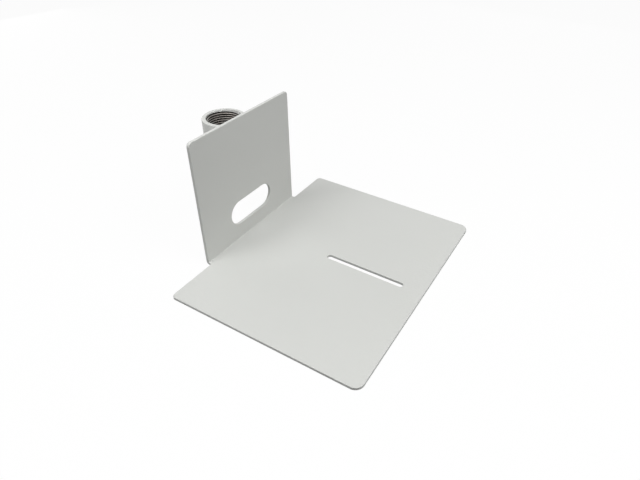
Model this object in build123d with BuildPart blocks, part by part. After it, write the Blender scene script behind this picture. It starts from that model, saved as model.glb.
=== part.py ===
from build123d import *
import math
import os

# Camera ceiling mount: a folded sheet with a shelf and an upright tab, hung from a pipe coupling
# Millimetres. Z is up. The origin lies under the middle of the whole, level with the shelf's underside.
# The shelf reaches towards -Y, the tab stands across the back and the coupling is welded behind it.

# Folded sheet
sheet = 3.0
bend_inside = 1.0
shelf_width = 232.0
shelf_depth = 185.0
tab_width = 133.0
tab_top = 126.0
front_corner = 8.0
back_corner = 4.0
tab_corner = 4.0
edge_round = 0.6

# The bend starts this far behind the shelf's back edge, so that it needs no relief cuts beside the tab
neck_length = 2.0
neck_corner = 1.5

# Long slot in the shelf for the camera's screw
camera_slot_width = 5.5
camera_slot_length = 79.0
camera_slot_from_front = 20.5

# Round-ended hole in the tab for the cables
cable_hole_width = 59.0
cable_hole_height = 24.5
cable_hole_middle = 31.0

# Coupling for a 1 inch taper pipe: its thread is left as the plain bore of the thread's crests
coupling_outside = 40.0
coupling_length = 50.0
coupling_below_tab = 8.0
bore_diameter = 30.0
mouth_chamfer = 1.6
rim_chamfer = 0.6

# Weld beads in the two long grooves between the coupling and the tab, as angles around the coupling
bead_root_angle = 10.0
bead_toe_angle = 37.0
bead_toe_on_tab = 3.0
bead_crown = 0.5
bead_end_gap = 3.0

# Places that follow from the sizes above
bend_outside = bend_inside + sheet
coupling_radius = coupling_outside / 2
whole_depth = shelf_depth + neck_length + bend_outside + coupling_outside
front_edge = -whole_depth / 2
back_edge = front_edge + shelf_depth
bend_line = back_edge + neck_length
tab_front = bend_line + bend_inside
tab_back = tab_front + sheet
coupling_axis = tab_back + coupling_radius
coupling_top = tab_top - coupling_below_tab
coupling_bottom = coupling_top - coupling_length
camera_slot_middle = front_edge + camera_slot_from_front + camera_slot_length / 2

# Two lengths closer than this are taken as the same
same = 0.01


def is_neck_root(point):
    """True for the two inner corners between the shelf's back edge and the neck of the tab."""
    return abs(abs(point.X) - tab_width / 2) < same and abs(point.Y - back_edge) < same


def on_coupling(angle):
    """Point of the coupling's outside, in plan, at an angle from where it touches the tab."""
    turn = math.radians(angle)
    return (coupling_radius * math.sin(turn), coupling_axis - coupling_radius * math.cos(turn))


with BuildPart() as bent_bracket:
    # The shelf is drawn flat, with its corners, the neck of the tab and the camera slot
    with BuildSketch(Plane.XY) as shelf:
        with Locations((0, front_edge + shelf_depth / 2)):
            Rectangle(shelf_width, shelf_depth)
        fillet(shelf.vertices().group_by(Axis.Y)[0], front_corner)
        fillet(shelf.vertices().group_by(Axis.Y)[-1], back_corner)
        with Locations((0, back_edge + neck_length / 2)):
            Rectangle(tab_width, neck_length)
        fillet(shelf.vertices().filter_by(is_neck_root), neck_corner)
        with Locations((0, camera_slot_middle)):
            SlotOverall(camera_slot_length, camera_slot_width, rotation=90, mode=Mode.SUBTRACT)
    extrude(amount=sheet)

    # The bend and the tab are one bent strip, seen from the side and as wide as the tab
    with BuildSketch(Plane.YZ):
        with BuildLine():
            inside_start = (bend_line, sheet)
            inside_end = (tab_front, bend_outside)
            outside_start = (bend_line, 0)
            outside_end = (tab_back, bend_outside)
            RadiusArc(inside_start, inside_end, -bend_inside)
            Polyline(inside_end, (tab_front, tab_top), (tab_back, tab_top), outside_end)
            RadiusArc(outside_end, outside_start, bend_outside)
            Line(outside_start, inside_start)
        make_face()
    extrude(amount=tab_width / 2, both=True)
    tab_corner_edges = bent_bracket.edges().filter_by(Axis.Y).group_by(Axis.Z)[-1]
    fillet(tab_corner_edges, tab_corner)

    # Cable hole through the tab
    with BuildSketch(Plane.XZ.offset(-tab_front)):
        with Locations((0, cable_hole_middle)):
            SlotOverall(cable_hole_width, cable_hole_height)
    extrude(amount=-sheet, mode=Mode.SUBTRACT)

    # Every cut edge of the sheet is slightly rounded, on both of its faces
    across_sheet = bent_bracket.edges().filter_by(lambda edge: abs(edge.length - sheet) < same)
    along_bend = bent_bracket.edges().filter_by(lambda edge: abs(edge.length - tab_width) < same)
    fillet(bent_bracket.edges() - across_sheet - along_bend, edge_round)

with BuildPart() as pipe_coupling:
    with BuildSketch(Plane.XY.offset(coupling_bottom)):
        with Locations((0, coupling_axis)):
            Circle(coupling_radius)
            Circle(bore_diameter / 2, mode=Mode.SUBTRACT)
    extrude(amount=coupling_length)
    ring_edges = pipe_coupling.edges().filter_by(GeomType.CIRCLE)
    chamfer(ring_edges.group_by(SortBy.RADIUS)[0], mouth_chamfer)
    chamfer(ring_edges.group_by(SortBy.RADIUS)[-1], rim_chamfer)


def weld_bead(side):
    """One weld bead: side is -1 for the left groove and +1 for the right one."""
    root_x, root_y = on_coupling(bead_root_angle)
    toe_x, toe_y = on_coupling(bead_toe_angle)
    middle_x, middle_y = on_coupling((bead_root_angle + bead_toe_angle) / 2)
    foot_x = toe_x + bead_toe_on_tab
    slope = math.atan2(toe_y - tab_back, foot_x - toe_x)
    crown_x = (foot_x + toe_x) / 2 + bead_crown * math.sin(slope)
    crown_y = (tab_back + toe_y) / 2 + bead_crown * math.cos(slope)
    with BuildPart() as bead:
        with BuildSketch(Plane.XY.offset(coupling_bottom + bead_end_gap)):
            with BuildLine():
                Line((side * root_x, tab_back), (side * foot_x, tab_back))
                ThreePointArc((side * foot_x, tab_back), (side * crown_x, crown_y), (side * toe_x, toe_y))
                ThreePointArc((side * toe_x, toe_y), (side * middle_x, middle_y), (side * root_x, root_y))
                Line((side * root_x, root_y), (side * root_x, tab_back))
            make_face()
        extrude(amount=coupling_length - 2 * bead_end_gap)
    return bead


weld_bead_left = weld_bead(-1)
weld_bead_right = weld_bead(1)

bent_bracket.part.label = "bent_bracket"
pipe_coupling.part.label = "pipe_coupling"
weld_bead_left.part.label = "weld_bead_left"
weld_bead_right.part.label = "weld_bead_right"

os.makedirs("parts", exist_ok=True)
export_step(bent_bracket.part, "parts/bent_bracket.step")
export_step(pipe_coupling.part, "parts/pipe_coupling.step")
export_step(weld_bead_left.part, "parts/weld_bead_left.step")
export_step(weld_bead_right.part, "parts/weld_bead_right.step")
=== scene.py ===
# %% [markdown]
# # Camera ceiling mount
# A folded sheet carries a camera: the wide shelf takes it, and the narrower tab stands up from the
# shelf's back edge. A threaded coupling is welded behind the tab, and a pipe from the ceiling screws
# into it. All of it is powder coated in one pale grey, and only the coupling's thread stays bare steel.
#
# The CAD model comes in first, as a fixed frame in metres. The sheet keeps its CAD mesh, which is right
# as it is. The coupling and the weld beads are plain in the CAD, so they are modelled again here with
# their thread and their ripples, at the places that the frame gives.

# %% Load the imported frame
import math
import random

import bmesh
import bpy
from mathutils import Matrix, Vector


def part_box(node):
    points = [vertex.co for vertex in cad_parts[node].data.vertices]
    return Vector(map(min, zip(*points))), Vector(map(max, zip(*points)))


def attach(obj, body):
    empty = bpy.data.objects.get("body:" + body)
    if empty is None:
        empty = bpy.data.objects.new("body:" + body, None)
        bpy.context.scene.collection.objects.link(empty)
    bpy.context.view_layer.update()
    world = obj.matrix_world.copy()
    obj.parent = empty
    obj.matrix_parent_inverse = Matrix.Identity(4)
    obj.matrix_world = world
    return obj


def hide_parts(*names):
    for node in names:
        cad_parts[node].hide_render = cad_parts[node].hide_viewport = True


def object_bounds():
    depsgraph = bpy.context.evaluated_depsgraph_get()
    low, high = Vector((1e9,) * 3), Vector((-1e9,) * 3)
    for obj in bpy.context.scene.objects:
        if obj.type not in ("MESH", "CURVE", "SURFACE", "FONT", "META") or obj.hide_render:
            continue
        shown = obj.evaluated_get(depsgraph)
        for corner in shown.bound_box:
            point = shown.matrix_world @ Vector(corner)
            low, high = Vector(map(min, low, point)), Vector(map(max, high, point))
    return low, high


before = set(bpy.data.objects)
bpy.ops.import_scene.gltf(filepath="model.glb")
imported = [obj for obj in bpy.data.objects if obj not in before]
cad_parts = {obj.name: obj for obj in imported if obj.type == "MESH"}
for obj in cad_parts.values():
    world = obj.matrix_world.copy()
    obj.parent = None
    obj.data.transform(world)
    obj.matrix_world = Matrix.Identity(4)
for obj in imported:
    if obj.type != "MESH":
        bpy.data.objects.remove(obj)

cad_low, cad_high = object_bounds()
mm = 0.001
for node in sorted(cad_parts):
    low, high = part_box(node)
    size = [round((b - a) / mm, 1) for a, b in zip(low, high)]
    print(f"{node}: {size[0]} x {size[1]} x {size[2]} mm")

# %% [markdown]
# ## The camera
# The view is the one that the photograph was taken from: above the front left corner of the shelf, about
# 35 degrees down. It was found by fitting the straight edges and corners of the sheet. The lens stands a
# little off the middle of the frame, so a small shift brings the object to its place in the picture.

# %% Place the camera
camera_place = Vector((-0.32030, -0.21758, 0.31933))
camera_heading = math.radians(61.121)
camera_dip = math.radians(34.873)
camera_roll = math.radians(1.802)
camera_lens = 28.976
camera_shift = (-0.0502, -0.0458)

look = Vector((
    math.sin(camera_heading) * math.cos(camera_dip),
    math.cos(camera_heading) * math.cos(camera_dip),
    -math.sin(camera_dip),
))
camera_turn = look.to_track_quat("-Z", "Y").to_matrix() @ Matrix.Rotation(camera_roll, 3, "Z")
camera_data = bpy.data.cameras.new("photo_view")
camera_data.sensor_width = 36
camera_data.lens = camera_lens
camera_data.shift_x, camera_data.shift_y = camera_shift
camera_data.clip_start = 0.01
camera_data.clip_end = 20
camera = bpy.data.objects.new("photo_view", camera_data)
camera.matrix_world = Matrix.Translation(camera_place) @ camera_turn.to_4x4()
bpy.context.scene.collection.objects.link(camera)
bpy.context.scene.camera = camera
print(f"The camera is {camera_place.length / mm:.0f} mm from the origin, with a {camera_lens:.1f} mm lens")

# %% [markdown]
# ## Helpers for nodes
# Both finishes are procedural, so they are made of nodes. A few short helpers place a node with its
# values, feed its inputs and give back its output, which keeps the cells below as short as the idea
# behind each node. A Mix node has its sockets for numbers and for colours side by side under the same
# names, so the helper for it knows them by their places.

# %% Place and join nodes
mix_sockets = {"FLOAT": (2, 0), "RGBA": (6, 2)}


def place(tree, kind, **values):
    """Adds a node. Values are its settings, or the plain numbers of the inputs with that name."""
    node = tree.nodes.new(kind)
    for name, value in values.items():
        if hasattr(node, name):
            setattr(node, name, value)
        else:
            node.inputs[name.replace("_", " ")].default_value = value
    return node


def join(tree, *pairs):
    """Joins each pair of output and input."""
    for output, target in pairs:
        tree.links.new(output, target)


def feed(tree, target, source):
    """Gives an input what it works with: another node's output, or a plain value."""
    if isinstance(source, bpy.types.NodeSocket):
        tree.links.new(source, target)
    else:
        target.default_value = source


def calculate(tree, operation, first, second=None, clamp=False):
    """One Math node. An operand is an output or a number."""
    node = tree.nodes.new("ShaderNodeMath")
    node.operation = operation
    node.use_clamp = clamp
    feed(tree, node.inputs[0], first)
    if second is not None:
        feed(tree, node.inputs[1], second)
    return node.outputs[0]


def mix(tree, share, under, over, kind="RGBA"):
    """Goes from under to over while share rises from 0 to 1. The kind is RGBA or FLOAT."""
    node = tree.nodes.new("ShaderNodeMix")
    node.data_type = kind
    first_input, output = mix_sockets[kind]
    feed(tree, node.inputs[0], share)
    feed(tree, node.inputs[first_input], under)
    feed(tree, node.inputs[first_input + 1], over)
    return node.outputs[output]


def ramp_between(tree, value, low, high):
    """A smooth rise from 0 at low to 1 at high."""
    node = tree.nodes.new("ShaderNodeMapRange")
    node.interpolation_type = "SMOOTHSTEP"
    node.inputs["From Min"].default_value = low
    node.inputs["From Max"].default_value = high
    tree.links.new(value, node.inputs["Value"])
    return node.outputs["Result"]


# %% Start materials and groups


def new_material(name):
    """A material with an empty node tree, and that tree."""
    material = bpy.data.materials.new(name)
    material.use_nodes = True
    material.node_tree.nodes.clear()
    return material, material.node_tree


def new_group(name, inputs, outputs):
    """A shader node group with named sockets, and its input and output nodes."""
    group = bpy.data.node_groups.new(name, "ShaderNodeTree")
    for socket_name, kind, value in inputs:
        socket = group.interface.new_socket(socket_name, in_out="INPUT", socket_type=kind)
        socket.default_value = value
    for socket_name, kind in outputs:
        group.interface.new_socket(socket_name, in_out="OUTPUT", socket_type=kind)
    entry = group.nodes.new("NodeGroupInput")
    leave = group.nodes.new("NodeGroupOutput")
    return group, entry, leave


def use_group(tree, group, values):
    """Places a group in a material with that material's own values, by the names of its inputs."""
    node = tree.nodes.new("ShaderNodeGroup")
    node.node_tree = group
    for name, value in values.items():
        node.inputs[name].default_value = value
    return node


# %% [markdown]
# ## Powder coat
# Powder coat is sprayed on dry and melts into one skin. Up close its gloss is broken by orange peel,
# ripples one to three millimetres across and a few hundredths high, with a finer grain on top. A single
# colour would look like plastic film, so the group gives that height, a slow drift of the tone and a
# patchy gloss. The bare thread uses the same group for the paint that has landed in its first turns.

# %% Build the coat group
grain_per_peel = 4.5
grain_height = 0.25
roughness_drift = 0.12

coat_group, coat_in, coat_out = new_group(
    "coat_skin",
    [
        ("Coat Colour", "NodeSocketColor", (0.7, 0.7, 0.68, 1)),
        ("Peel Scale", "NodeSocketFloat", 450.0),
        ("Drift", "NodeSocketFloat", 0.02),
        ("Roughness", "NodeSocketFloat", 0.42),
    ],
    [
        ("Colour", "NodeSocketColor"),
        ("Roughness", "NodeSocketFloat"),
        ("Height", "NodeSocketFloat"),
    ],
)
coat_place = place(coat_group, "ShaderNodeTexCoord")
peel = place(coat_group, "ShaderNodeTexNoise", Detail=2.0, Roughness=0.45)
grain = place(coat_group, "ShaderNodeTexNoise", Detail=1.0, Roughness=0.5)
slow_drift = place(coat_group, "ShaderNodeTexNoise", Scale=14.0, Detail=2.0, Roughness=0.5)
grain_scale = calculate(coat_group, "MULTIPLY", coat_in.outputs["Peel Scale"], grain_per_peel)
join(
    coat_group,
    (coat_place.outputs["Object"], peel.inputs["Vector"]),
    (coat_place.outputs["Object"], grain.inputs["Vector"]),
    (coat_place.outputs["Object"], slow_drift.inputs["Vector"]),
    (coat_in.outputs["Peel Scale"], peel.inputs["Scale"]),
    (grain_scale, grain.inputs["Scale"]),
)
grain_share = calculate(coat_group, "MULTIPLY", grain.outputs["Fac"], grain_height)
coat_height = calculate(coat_group, "ADD", peel.outputs["Fac"], grain_share)
drift_signed = calculate(coat_group, "SUBTRACT", slow_drift.outputs["Fac"], 0.5)
drift_amount = calculate(coat_group, "MULTIPLY", drift_signed, coat_in.outputs["Drift"])
tone = calculate(coat_group, "ADD", drift_amount, 1.0)
toned = place(coat_group, "ShaderNodeVectorMath", operation="SCALE")
roughness_change = calculate(coat_group, "MULTIPLY", drift_signed, roughness_drift)
coat_roughness = calculate(coat_group, "ADD", coat_in.outputs["Roughness"], roughness_change)
join(
    coat_group,
    (coat_in.outputs["Coat Colour"], toned.inputs[0]),
    (tone, toned.inputs["Scale"]),
    (toned.outputs["Vector"], coat_out.inputs["Colour"]),
    (coat_roughness, coat_out.inputs["Roughness"]),
    (coat_height, coat_out.inputs["Height"]),
)
print(f"{coat_group.name}: {len(coat_group.nodes)} nodes")

# %% Make the powder coat material
coat_finish = {
    "Coat Colour": (0.673, 0.682, 0.657, 1),
    "Peel Scale": 450.0,
    "Drift": 0.03,
    "Roughness": 0.45,
}
powder_coat, coat_tree = new_material("powder_coat_pale_grey")
coat_skin = use_group(coat_tree, coat_group, coat_finish)
coat_bump = place(coat_tree, "ShaderNodeBump", Strength=0.5, Distance=0.0002)
coat_shader = place(coat_tree, "ShaderNodeBsdfPrincipled", IOR=1.5)
coat_result = place(coat_tree, "ShaderNodeOutputMaterial")
join(
    coat_tree,
    (coat_skin.outputs["Colour"], coat_shader.inputs["Base Color"]),
    (coat_skin.outputs["Roughness"], coat_shader.inputs["Roughness"]),
    (coat_skin.outputs["Height"], coat_bump.inputs["Height"]),
    (coat_bump.outputs["Normal"], coat_shader.inputs["Normal"]),
    (coat_shader.outputs["BSDF"], coat_result.inputs["Surface"]),
)
print(f"{powder_coat.name}: {len(coat_tree.nodes)} nodes")

# %% [markdown]
# ## Bare thread
# The thread is cut before the coating and plugged while the coat goes on, so it shows cut steel, stained
# in patches. Its roots are coloured nearly black, darker the further they lie from the crests: that is
# painted shade, and it leaves the crests bright. Around the plug some powder still drifts in: a thin grey
# film covers the chamfer of the mouth, and a few thick white flecks reach into the first turn. All of it
# follows from two lengths, which are the depth below the mouth and the height above the thread's crests.
# Both are worked out from Object coordinates, which are the places on the piece itself, so the finish stays
# where it is in every view.

# %% Measure depth and height in the bore
coupling_low, coupling_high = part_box("pipe_coupling")
coupling_middle_z = (coupling_low.z + coupling_high.z) / 2
half_length = (coupling_high.z - coupling_low.z) / 2
coupling_axis = Vector((0, (coupling_low.y + coupling_high.y) / 2, 0))
coupling_radius = (coupling_high.y - coupling_low.y) / 2
crest_radius = 15.0 * mm
taper = 1 / 32

bare_thread, thread_tree = new_material("bare_thread_steel")
thread_place = place(thread_tree, "ShaderNodeTexCoord")
from_middle = place(thread_tree, "ShaderNodeVectorMath", operation="SUBTRACT")
from_middle.inputs[1].default_value = (0, coupling_axis.y, coupling_middle_z)
split = place(thread_tree, "ShaderNodeSeparateXYZ")
in_plan = place(thread_tree, "ShaderNodeVectorMath", operation="MULTIPLY")
in_plan.inputs[1].default_value = (1, 1, 0)
plan_radius = place(thread_tree, "ShaderNodeVectorMath", operation="LENGTH")
join(
    thread_tree,
    (thread_place.outputs["Object"], from_middle.inputs[0]),
    (from_middle.outputs["Vector"], split.inputs[0]),
    (from_middle.outputs["Vector"], in_plan.inputs[0]),
    (in_plan.outputs["Vector"], plan_radius.inputs[0]),
)
height_off_middle = calculate(thread_tree, "ABSOLUTE", split.outputs["Z"])
depth_below_mouth = calculate(thread_tree, "SUBTRACT", half_length, height_off_middle)
depth_in_mm = calculate(thread_tree, "DIVIDE", depth_below_mouth, mm)
taper_so_far = calculate(thread_tree, "MULTIPLY", depth_in_mm, taper)
radius_in_mm = calculate(thread_tree, "DIVIDE", plan_radius.outputs["Value"], mm)
over_mouth_crest = calculate(thread_tree, "SUBTRACT", radius_in_mm, crest_radius / mm)
over_crest = calculate(thread_tree, "ADD", over_mouth_crest, taper_so_far)
print(f"Bore: {2 * half_length / mm:.1f} mm long, {2 * crest_radius / mm:.1f} mm wide between the crests")

# %% Name the colours and reaches of the finish
bright_steel = (0.335, 0.332, 0.315, 1)
stained_steel = (0.225, 0.207, 0.192, 1)
# Painted shade: the nearly black colour of the thread's roots.
root_shade_colour = (0.036, 0.034, 0.03, 1)
thin_film = (0.34, 0.34, 0.33, 1)
steel_metallic = 0.85
steel_roughness = 0.42

# Each pair says where a finish begins and where it is complete. The end of the film wanders with the
# noise, and a fleck needs more of that noise the deeper it lies.
stain_noise = (0.4, 0.6)
# Painted shade: the heights above the crests over which the roots go over to their nearly black colour.
root_shade_heights_mm = (0.25, 1.1)
bare_depths_mm = (1.5, 1.9)
film_wander_mm = 3.0
fleck_noise = (0.045, 0.085)
fleck_loss_per_mm = 0.03
print(f"The bare steel starts about {bare_depths_mm[0]} to {bare_depths_mm[1]} mm below the mouth")

# %% Share out steel, dirt, film and flecks
fleck = place(thread_tree, "ShaderNodeTexNoise", noise_dimensions="4D", W=3.0, Scale=330.0, Detail=2.0)
stain = place(thread_tree, "ShaderNodeTexNoise", Scale=60.0, Detail=2.0)
join(
    thread_tree,
    (thread_place.outputs["Object"], fleck.inputs["Vector"]),
    (thread_place.outputs["Object"], stain.inputs["Vector"]),
)
stain_share = ramp_between(thread_tree, stain.outputs["Fac"], *stain_noise)
# Painted shade: the share of the nearly black root colour grows with the height above the crests.
root_shade_share = ramp_between(thread_tree, over_crest, *root_shade_heights_mm)
fleck_signed = calculate(thread_tree, "SUBTRACT", fleck.outputs["Fac"], 0.5)
film_swing = calculate(thread_tree, "MULTIPLY", fleck_signed, film_wander_mm)
swung_depth = calculate(thread_tree, "ADD", depth_in_mm, film_swing)
bareness = ramp_between(thread_tree, swung_depth, *bare_depths_mm)
film_share = calculate(thread_tree, "SUBTRACT", 1.0, bareness)
fleck_loss = calculate(thread_tree, "MULTIPLY", depth_in_mm, fleck_loss_per_mm)
fleck_level = calculate(thread_tree, "SUBTRACT", fleck_signed, fleck_loss)
fleck_share = ramp_between(thread_tree, fleck_level, *fleck_noise)
steel_share = calculate(thread_tree, "SUBTRACT", bareness, fleck_share, clamp=True)
print(f"{bare_thread.name}: {len(thread_tree.nodes)} nodes tell what lies where")

# %% Mix the thread's material
thread_paint = use_group(thread_tree, coat_group, coat_finish)
steel_colour = mix(thread_tree, stain_share, bright_steel, stained_steel)
# Painted shade darkens the roots of the thread.
root_shaded_colour = mix(thread_tree, root_shade_share, steel_colour, root_shade_colour)
filmed_colour = mix(thread_tree, film_share, root_shaded_colour, thin_film)
thread_colour = mix(thread_tree, fleck_share, filmed_colour, thread_paint.outputs["Colour"])
paint_roughness = thread_paint.outputs["Roughness"]
thread_roughness = mix(thread_tree, steel_share, paint_roughness, steel_roughness, "FLOAT")
metal_share = calculate(thread_tree, "MULTIPLY", steel_share, steel_metallic)
thread_bump = place(thread_tree, "ShaderNodeBump", Strength=0.25, Distance=0.00006)
thread_shader = place(thread_tree, "ShaderNodeBsdfPrincipled", IOR=1.5)
thread_result = place(thread_tree, "ShaderNodeOutputMaterial")
join(
    thread_tree,
    (thread_colour, thread_shader.inputs["Base Color"]),
    (thread_roughness, thread_shader.inputs["Roughness"]),
    (metal_share, thread_shader.inputs["Metallic"]),
    (thread_paint.outputs["Height"], thread_bump.inputs["Height"]),
    (thread_bump.outputs["Normal"], thread_shader.inputs["Normal"]),
    (thread_shader.outputs["BSDF"], thread_result.inputs["Surface"]),
)
print(f"{bare_thread.name}: {len(thread_tree.nodes)} nodes in all")

# %% [markdown]
# ## Finishing a modelled piece
# Every new piece ends the same way. Its faces are shaded smooth, edges sharper than a set angle stay
# crisp, and the piece rides on the root body in place of its CAD node. The number of open edges is
# printed, because a real piece of metal has none.

# %% Turn a bmesh into a finished piece


def finish_piece(name, mesh_in_work, materials, node, crisp_angle):
    """Makes the object, with its place in its mesh, and lets it stand for the CAD node."""
    for face in mesh_in_work.faces:
        face.smooth = True
    for edge in mesh_in_work.edges:
        edge.smooth = edge.calc_face_angle(0.0) < math.radians(crisp_angle)
    open_edges = [edge for edge in mesh_in_work.edges if not edge.is_manifold]
    mesh = bpy.data.meshes.new(name)
    mesh_in_work.to_mesh(mesh)
    mesh_in_work.free()
    piece = bpy.data.objects.new(name, mesh)
    bpy.context.scene.collection.objects.link(piece)
    for material in materials:
        mesh.materials.append(material)
    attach(piece, "root")
    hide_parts(node)
    print(f"{name}: {len(mesh.polygons)} faces, {len(open_edges)} open edges")


# %% [markdown]
# ## The threaded coupling
# It is a short steel socket, 40 mm across, with the taper thread of a 1 inch pipe cut into it from both
# ends. Rings stacked up would look right from afar, but a thread climbs: it is one tooth swept round and
# up at once, which is what a spin with a step of travel does. The sweep starts below the coupling and ends
# above it. Its radius then shrinks towards the middle, as the taper does, and opens at both mouths, where
# the chamfer has cut the crests away. Two flat cuts leave a clean ring at each end, and the rims and the
# outside wall are drawn out from those rings.

# %% Draw one tooth
thread_pitch = 25.4 / 11.5 * mm
thread_depth = 1.6 * mm
crest_flat = 0.16 * mm
flank_angle = math.radians(30)
edge_softness = 0.07 * mm

flank = thread_depth * math.tan(flank_angle)
root_flat = thread_pitch - 2 * flank - crest_flat
crest_start = root_flat + flank
crest_end = crest_start + crest_flat
root_radius = crest_radius + thread_depth
soft_on_flank = 0.6 * edge_softness
soft_on_crest = 0.5 * edge_softness
tooth = [
    (root_radius, 0),
    (root_radius, root_flat - edge_softness),
    (root_radius - edge_softness, root_flat + soft_on_flank),
    (crest_radius + edge_softness, crest_start - soft_on_flank),
    (crest_radius, crest_start + soft_on_crest),
    (crest_radius, crest_end - soft_on_crest),
    (crest_radius + edge_softness, crest_end + soft_on_flank),
    (root_radius - edge_softness, thread_pitch - soft_on_flank),
    (root_radius, thread_pitch),
]
print(f"Tooth: pitch {thread_pitch / mm:.3f} mm, depth {thread_depth / mm:.1f} mm, {len(tooth)} points")

# %% Sweep the thread
turn_steps = 96
spare_turns = 2
start_below = 1.5 * thread_pitch
same_place = 0.01 * mm

turns = math.ceil(2 * half_length / thread_pitch) + spare_turns
start_z = coupling_low.z - start_below
coupling_mesh = bmesh.new()
tooth_verts = [coupling_mesh.verts.new((radius, 0, start_z + rise)) for radius, rise in tooth]
tooth_edges = [coupling_mesh.edges.new(pair) for pair in zip(tooth_verts, tooth_verts[1:])]
bmesh.ops.spin(
    coupling_mesh,
    geom=tooth_verts + tooth_edges,
    cent=(0, 0, 0),
    axis=(0, 0, 1),
    dvec=(0, 0, thread_pitch / turn_steps),
    angle=2 * math.pi,
    steps=turn_steps,
    use_merge=False,
)
one_turn = coupling_mesh.verts[:] + coupling_mesh.edges[:] + coupling_mesh.faces[:]
for turn in range(1, turns):
    copied = bmesh.ops.duplicate(coupling_mesh, geom=one_turn)["geom"]
    copied_verts = [item for item in copied if isinstance(item, bmesh.types.BMVert)]
    bmesh.ops.translate(coupling_mesh, vec=(0, 0, turn * thread_pitch), verts=copied_verts)
bmesh.ops.remove_doubles(coupling_mesh, verts=coupling_mesh.verts, dist=same_place)
print(f"Thread: {turns} turns, {len(coupling_mesh.faces)} faces")

# %% Cut the taper, the chamfers and the ends
mouth_chamfer = 1.6 * mm
cut_tolerance = 0.0001 * mm

for vert in coupling_mesh.verts:
    below_mouth = max(half_length - abs(vert.co.z - coupling_middle_z), 0)
    radius = vert.co.xy.length
    tapered_radius = radius - below_mouth * taper
    chamfer_radius = crest_radius + mouth_chamfer - below_mouth
    vert.co.xy *= max(tapered_radius, chamfer_radius) / radius
for end_z, outwards in ((coupling_high.z, 1), (coupling_low.z, -1)):
    bmesh.ops.bisect_plane(
        coupling_mesh,
        geom=coupling_mesh.verts[:] + coupling_mesh.edges[:] + coupling_mesh.faces[:],
        dist=cut_tolerance,
        plane_co=(0, 0, end_z),
        plane_no=(0, 0, outwards),
        clear_outer=True,
    )
rim_edges = [edge for edge in coupling_mesh.edges if edge.is_boundary]
print(f"Cut thread: {len(coupling_mesh.faces)} faces, {len(rim_edges)} rim edges")

# %% Draw out the rims and the outside
rim_chamfer = 0.6 * mm
rim_shoulder = 0.18 * mm
on_the_cut = 0.001 * mm
bore_faces = set(coupling_mesh.faces)


def boundary_of(edges):
    """The edges that belong to one face only."""
    return [edge for edge in edges if edge.is_boundary]


def draw_out(edges, radius, z):
    """Extrudes a round rim to a new radius and height and gives the new rim."""
    made = bmesh.ops.extrude_edge_only(coupling_mesh, edges=edges)["geom"]
    for vert in (item for item in made if isinstance(item, bmesh.types.BMVert)):
        vert.co.xy *= radius / vert.co.xy.length
        vert.co.z = z
    return boundary_of(item for item in made if isinstance(item, bmesh.types.BMEdge))


outside_rims = []
for end_z, inwards in ((coupling_high.z, -1), (coupling_low.z, 1)):
    rim = [
        edge
        for edge in boundary_of(coupling_mesh.edges)
        if all(abs(vert.co.z - end_z) < on_the_cut for vert in edge.verts)
    ]
    rim = draw_out(rim, coupling_radius - rim_chamfer, end_z)
    rim = draw_out(rim, coupling_radius - rim_shoulder, end_z + inwards * rim_shoulder)
    rim = draw_out(rim, coupling_radius, end_z + inwards * rim_chamfer)
    outside_rims += rim
bmesh.ops.bridge_loops(coupling_mesh, edges=outside_rims)
bmesh.ops.recalc_face_normals(coupling_mesh, faces=coupling_mesh.faces)
bmesh.ops.translate(coupling_mesh, vec=coupling_axis, verts=coupling_mesh.verts)
for face in coupling_mesh.faces:
    face.material_index = 1 if face in bore_faces else 0
finish_piece(
    "threaded_coupling", coupling_mesh, [powder_coat, bare_thread], "pipe_coupling", crisp_angle=40
)

# %% [markdown]
# ## The weld beads
# A bead is laid in many small pools, each a thin crescent over the last, so its face is rippled along its
# length, its foot is scalloped and its ends are rounded. The CAD bead is a plain bar, and a bump on it
# would leave its outline straight. Here the same section, a triangle with one round side, is carried up in
# short steps by a spin of no angle. Each vertex is then pushed out or in from the root by where it lies in
# its pool. The powder coat softens the ripples, so the pools are shallow.

# %% Draw the section of a bead
bead_face_steps = 12
bead_crown = 0.55 * mm


def bead_section(low, high):
    """Root and toe of a bead on the +X side, in plan, and the points around it."""
    root = Vector((min(abs(low.x), abs(high.x)), low.y, 0))
    foot = Vector((max(abs(low.x), abs(high.x)), low.y, 0))
    toe_x = math.sqrt(coupling_radius ** 2 - (coupling_axis.y - high.y) ** 2)
    toe = Vector((toe_x, high.y, 0))
    across = (toe - foot).normalized()
    outwards = Vector((across.y, -across.x, 0))
    points = []
    for step in range(bead_face_steps + 1):
        share = step / bead_face_steps
        swell = bead_crown * (1 - (2 * share - 1) ** 2)
        points.append(foot.lerp(toe, share) + outwards * swell)
    points += [toe.lerp(root, 0.5), root]
    return root, toe, points


# %% Carry the section up
ring_step = 0.22 * mm


def carry_up(points, side, low_z, high_z):
    """Sweeps the section from one end of the bead to the other and closes both ends."""
    bead = bmesh.new()
    ring = [bead.verts.new((point.x * side, point.y, low_z)) for point in points]
    bottom = bead.faces.new(ring)
    steps = round((high_z - low_z) / ring_step)
    lifted = bmesh.ops.spin(
        bead,
        geom=list(bottom.edges),
        cent=(0, 0, 0),
        axis=(0, 0, 1),
        dvec=(0, 0, (high_z - low_z) / steps),
        angle=0,
        steps=steps,
        use_merge=False,
    )["geom_last"]
    top_rim = [item for item in lifted if isinstance(item, bmesh.types.BMEdge)]
    bmesh.ops.contextual_create(bead, geom=top_rim)
    return bead


# %% Push the ripples out
pool_length = 1.7 * mm
spare_pools = 3
pool_swell = 0.075
pool_sizes_between = (0.7, 1.25)
pool_shift = 0.12
pool_roundness = 0.6
crescent = 0.55
valley_size = 0.9
end_size = 0.45
end_round = 2.6 * mm


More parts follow.
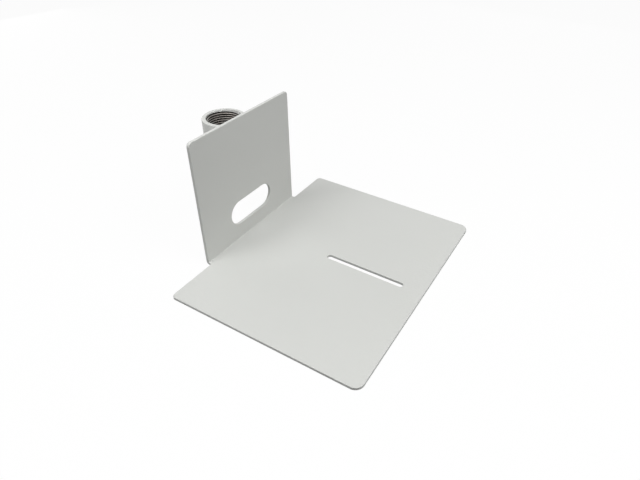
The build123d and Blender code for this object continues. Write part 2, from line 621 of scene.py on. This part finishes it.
def ripple(bead, root, toe, side, low_z, high_z, seed):
    """Sizes each vertex about the root by its place in its pool and its distance from the ends."""
    chance = random.Random(seed)
    pools = math.ceil((high_z - low_z) / pool_length) + spare_pools
    pool_sizes = [chance.uniform(*pool_sizes_between) for pool in range(pools)]
    pool_shifts = [chance.uniform(-pool_shift, pool_shift) for pool in range(pools)]
    pivot = Vector((root.x * side, root.y))
    toe_turn = math.atan2(toe.y - root.y, toe.x - root.x)
    for vert in bead.verts:
        arm = vert.co.xy - pivot
        if arm.length < same_place:
            continue
        face_place = min(math.atan2(arm.y, abs(arm.x)) / toe_turn, 1)
        phase = (vert.co.z - low_z) / pool_length + crescent * (1 - (2 * face_place - 1) ** 2)
        pool = int(phase)
        within = min(max(phase - pool + pool_shifts[pool], 0), 1)
        crest = math.sin(math.pi * within) ** pool_roundness
        from_end = min(vert.co.z - low_z, high_z - vert.co.z)
        lag = min(max(from_end / end_round, 0), 1)
        roundness = math.sqrt(1 - (1 - lag) ** 2)
        size = valley_size + pool_swell * pool_sizes[pool] * crest
        size *= end_size + (1 - end_size) * roundness
        vert.co.xy = pivot + arm * size


# %% Model the two beads


def rippled_bead(node, name, seed):
    """One bead at its CAD node's place. The seed makes its pools differ from the other bead's."""
    low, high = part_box(node)
    side = 1 if low.x > 0 else -1
    root, toe, points = bead_section(low, high)
    bead = carry_up(points, side, low.z, high.z)
    ripple(bead, root, toe, side, low.z, high.z, seed)
    bmesh.ops.recalc_face_normals(bead, faces=bead.faces)
    finish_piece(name, bead, [powder_coat], node, crisp_angle=60)


rippled_bead("weld_bead_left", "rippled_bead_left", 23)
rippled_bead("weld_bead_right", "rippled_bead_right", 11)

# %% [markdown]
# ## The sheet
# The bent sheet needs no new mesh: its fold, its slot, its hole and its rounded edges are in the CAD
# already, and a flat painted face shows nothing more. It only gets the powder coat in its material slots.

# %% Give the sheet its finish
sheet_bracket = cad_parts["bent_bracket"]
for slot in sheet_bracket.material_slots:
    slot.material = powder_coat
print(f"bent_bracket: {len(sheet_bracket.data.polygons)} faces in {powder_coat.name}")

# %% [markdown]
# ## Floor and backdrop
# The photograph has a plain white ground, while little light comes back from it to the object. Lamps that
# turn a floor white would also flatten the shelf. So the camera, and the rays that a mirror or a glass
# sends on, see a white of strength 1 on the floor and in the world. All other rays find a dull floor and
# no light. The share that isn't white lets a faint shadow of the object through.

# %% Tell the rays that see the white


def sees_backdrop(tree):
    """1 for the rays that see the backdrop, from the camera or by way of a gloss or a glass, else 0."""
    ray = place(tree, "ShaderNodeLightPath")
    direct_or_gloss = calculate(tree, "MAXIMUM", ray.outputs["Is Camera Ray"], ray.outputs["Is Glossy Ray"])
    return calculate(tree, "MAXIMUM", direct_or_gloss, ray.outputs["Is Transmission Ray"])


# %% Make the floor
floor_reach = 3.0
floor_gap = 0.05 * mm
seen_white = 0.96
floor_seen_colour = (0.95, 0.95, 0.95, 1)
floor_colour = (0.12, 0.12, 0.12, 1)

floor_mesh = bmesh.new()
bmesh.ops.create_grid(floor_mesh, x_segments=1, y_segments=1, size=floor_reach)
bmesh.ops.translate(floor_mesh, vec=(0, 0, cad_low.z - floor_gap), verts=floor_mesh.verts)
floor_data = bpy.data.meshes.new("floor")
floor_mesh.to_mesh(floor_data)
floor_mesh.free()
floor = bpy.data.objects.new("floor", floor_data)
bpy.context.scene.collection.objects.link(floor)

floor_white, floor_tree = new_material("floor_white")
floor_matt = place(floor_tree, "ShaderNodeBsdfDiffuse")
floor_glow = place(floor_tree, "ShaderNodeEmission", Strength=1.0)
floor_mix = place(floor_tree, "ShaderNodeMixShader")
floor_result = place(floor_tree, "ShaderNodeOutputMaterial")
seen = sees_backdrop(floor_tree)
join(
    floor_tree,
    (mix(floor_tree, seen, floor_colour, floor_seen_colour), floor_matt.inputs["Color"]),
    (calculate(floor_tree, "MULTIPLY", seen, seen_white), floor_mix.inputs[0]),
    (floor_matt.outputs[0], floor_mix.inputs[1]),
    (floor_glow.outputs[0], floor_mix.inputs[2]),
    (floor_mix.outputs[0], floor_result.inputs["Surface"]),
)
floor_data.materials.append(floor_white)
print(f"The floor is {2 * floor_reach:.0f} m wide, {floor_gap / mm:.2f} mm under the shelf")

# %% Make the world
white = (1, 1, 1, 1)
world = bpy.data.worlds.new("studio")
bpy.context.scene.world = world
world.use_nodes = True
world_tree = world.node_tree
world_tree.nodes.clear()
room_light = place(world_tree, "ShaderNodeBackground", Color=white, Strength=0.0)
seen_backdrop = place(world_tree, "ShaderNodeBackground", Color=white, Strength=1.0)
world_mix = place(world_tree, "ShaderNodeMixShader")
world_result = place(world_tree, "ShaderNodeOutputWorld")
join(
    world_tree,
    (sees_backdrop(world_tree), world_mix.inputs[0]),
    (room_light.outputs[0], world_mix.inputs[1]),
    (seen_backdrop.outputs[0], world_mix.inputs[2]),
    (world_mix.outputs[0], world_result.inputs["Surface"]),
)
print(f"{world.name}: {len(world_tree.nodes)} nodes")

# %% [markdown]
# ## Soft light
# The upright tab is nearly one tone from top to bottom, and the shelf gets darker from left to right. Far
# lamps can't do both. Square softboxes one metre away can, because their light falls off over the object.
# The two on the left light the shelf and the rim of the coupling, and the front one lights the tab. Three
# weak ones behind and on the right keep the tab's back and the coupling readable from there.

# %% Light the object
softbox_distance = 1.0
softbox_width = 0.6
full_power = 7.54
softbox_aim = Vector((0, 0, 0.05))


def softbox(name, compass, height, strength):
    """A square lamp at a compass angle from +Y towards +X and a height angle, with its share of power."""
    around = math.radians(compass)
    above = math.radians(height)
    direction = Vector((
        math.sin(around) * math.cos(above),
        math.cos(around) * math.cos(above),
        math.sin(above),
    ))
    data = bpy.data.lights.new(name, "AREA")
    data.shape = "SQUARE"
    data.size = softbox_width
    data.energy = strength * full_power
    lamp = bpy.data.objects.new(name, data)
    lamp.visible_camera = False
    turn = (-direction).to_track_quat("-Z", "Y").to_matrix().to_4x4()
    lamp.matrix_world = Matrix.Translation(softbox_aim + direction * softbox_distance) @ turn
    bpy.context.scene.collection.objects.link(lamp)
    print(f"{name}: {data.energy:.1f} W")


softbox("left_top_softbox", compass=296, height=68, strength=0.34)
softbox("left_softbox", compass=292, height=50, strength=0.48)
softbox("front_softbox", compass=178, height=50, strength=0.84)
softbox("back_softbox", compass=335, height=45, strength=0.04)
softbox("back_low_softbox", compass=8, height=14, strength=0.22)
softbox("right_low_softbox", compass=90, height=16, strength=0.065)

# %% [markdown]
# ## View and sizes
# The Standard view shows a colour as it is written. The CAD model's box, as it was measured when the
# model came in, is printed in millimetres.

# %% Set the view and write the sizes
bpy.context.scene.view_settings.view_transform = "Standard"
print("CAD box", [round(value / mm, 2) for value in (*cad_low, *cad_high)])
